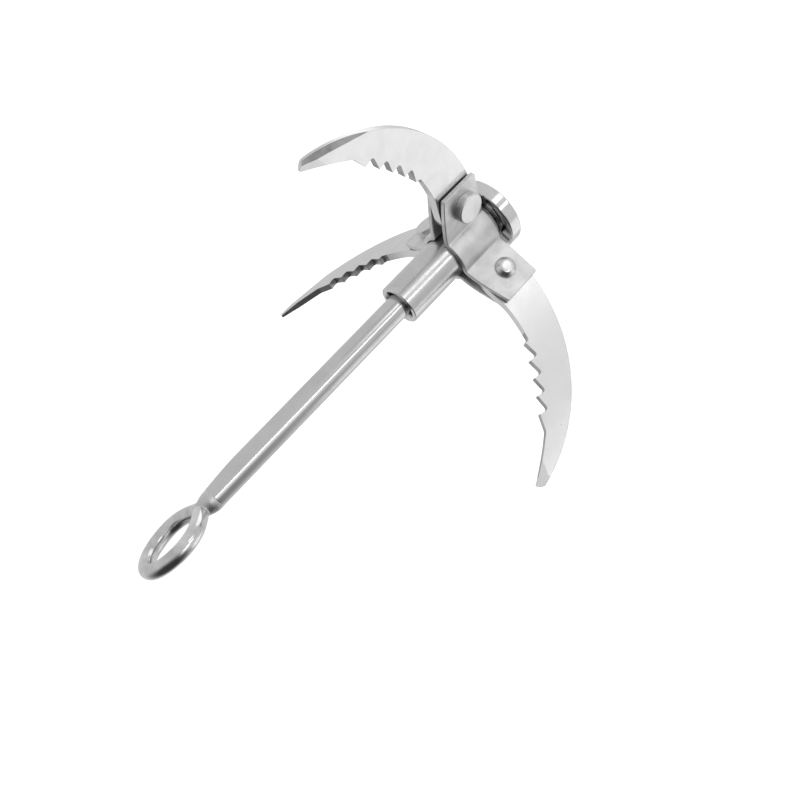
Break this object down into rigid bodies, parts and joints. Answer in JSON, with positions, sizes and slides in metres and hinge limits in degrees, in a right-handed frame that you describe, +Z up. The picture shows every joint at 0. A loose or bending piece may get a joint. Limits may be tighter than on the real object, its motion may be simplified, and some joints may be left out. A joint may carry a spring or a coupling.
{
  "type": "grapnel anchor",
  "caption": "Folding grapnel anchor: round shank with a rope eye, and a sliding head of bracket plates and riveted serrated claws that a crown disc locks open.",
  "frame": {"origin": "centre of the crown disc's flat far face, which is also the end of the shank's spigot", "axes": "+Z runs up the shank from the crown disc to the eye; the first claw points along +Y and the rope goes through the eye roughly along X"},
  "size_m": [0.1562, 0.1352, 0.1975],
  "materials": {
    "bar_steel": "polished round bar",
    "crown_steel": "turned and lightly polished",
    "eye_steel": "polished wire",
    "weld_steel": "cleaned weld bead",
    "washer_steel": "plain washer",
    "tube_steel": "satin tube, brushed along its length",
    "plate_steel": "bent sheet, lightly scuffed",
    "rivet_steel": "smooth flat-headed rivet",
    "claw_steel": "satin cut plate with ground edges"
  },
  "bodies": {
    "shank": {"shank_rod": "bar_steel", "crown_disc": "crown_steel", "eye_ring": "eye_steel", "eye_weld": "weld_steel"},
    "washer": {"thrust_washer": "washer_steel"},
    "head": {"hub_tube": "tube_steel", "bracket_plate_1": "plate_steel", "bracket_plate_2": "plate_steel", "bracket_plate_3": "plate_steel", "hub_weld_1": "weld_steel", "hub_weld_2": "weld_steel", "hub_weld_3": "weld_steel", "pivot_pin_1": "rivet_steel", "pivot_pin_2": "rivet_steel", "pivot_pin_3": "rivet_steel"},
    "arm_1": {"claw_1": "claw_steel"},
    "arm_2": {"claw_2": "claw_steel"},
    "arm_3": {"claw_3": "claw_steel"}
  },
  "joints": [
    {"name": "head_swivel", "type": "hinge", "parent": "shank", "child": "washer", "pos_m": [0, 0, 0.0065], "axis": [0, 0, 1], "continuous": true},
    {"name": "head_slide", "type": "slide", "parent": "washer", "child": "head", "axis": [0, 0, 1], "range_m": [0, 0.012]},
    {"name": "claw_1_fold", "type": "hinge", "parent": "head", "child": "arm_1", "pos_m": [0, 0.02055, 0.01715], "axis": [1, 0, 0], "range_deg": [0, 57]},
    {"name": "claw_2_fold", "type": "hinge", "parent": "head", "child": "arm_2", "pos_m": [-0.0178, -0.01027, 0.01715], "axis": [-0.5, 0.866, 0], "range_deg": [0, 57]},
    {"name": "claw_3_fold", "type": "hinge", "parent": "head", "child": "arm_3", "pos_m": [0.0178, -0.01027, 0.01715], "axis": [-0.5, -0.866, 0], "range_deg": [0, 57]}
  ],
  "couplings": [
    {"joint": "claw_1_fold", "follows": "head_slide", "rad_per_m": 82.9},
    {"joint": "claw_2_fold", "follows": "head_slide", "rad_per_m": 82.9},
    {"joint": "claw_3_fold", "follows": "head_slide", "rad_per_m": 82.9}
  ]
}
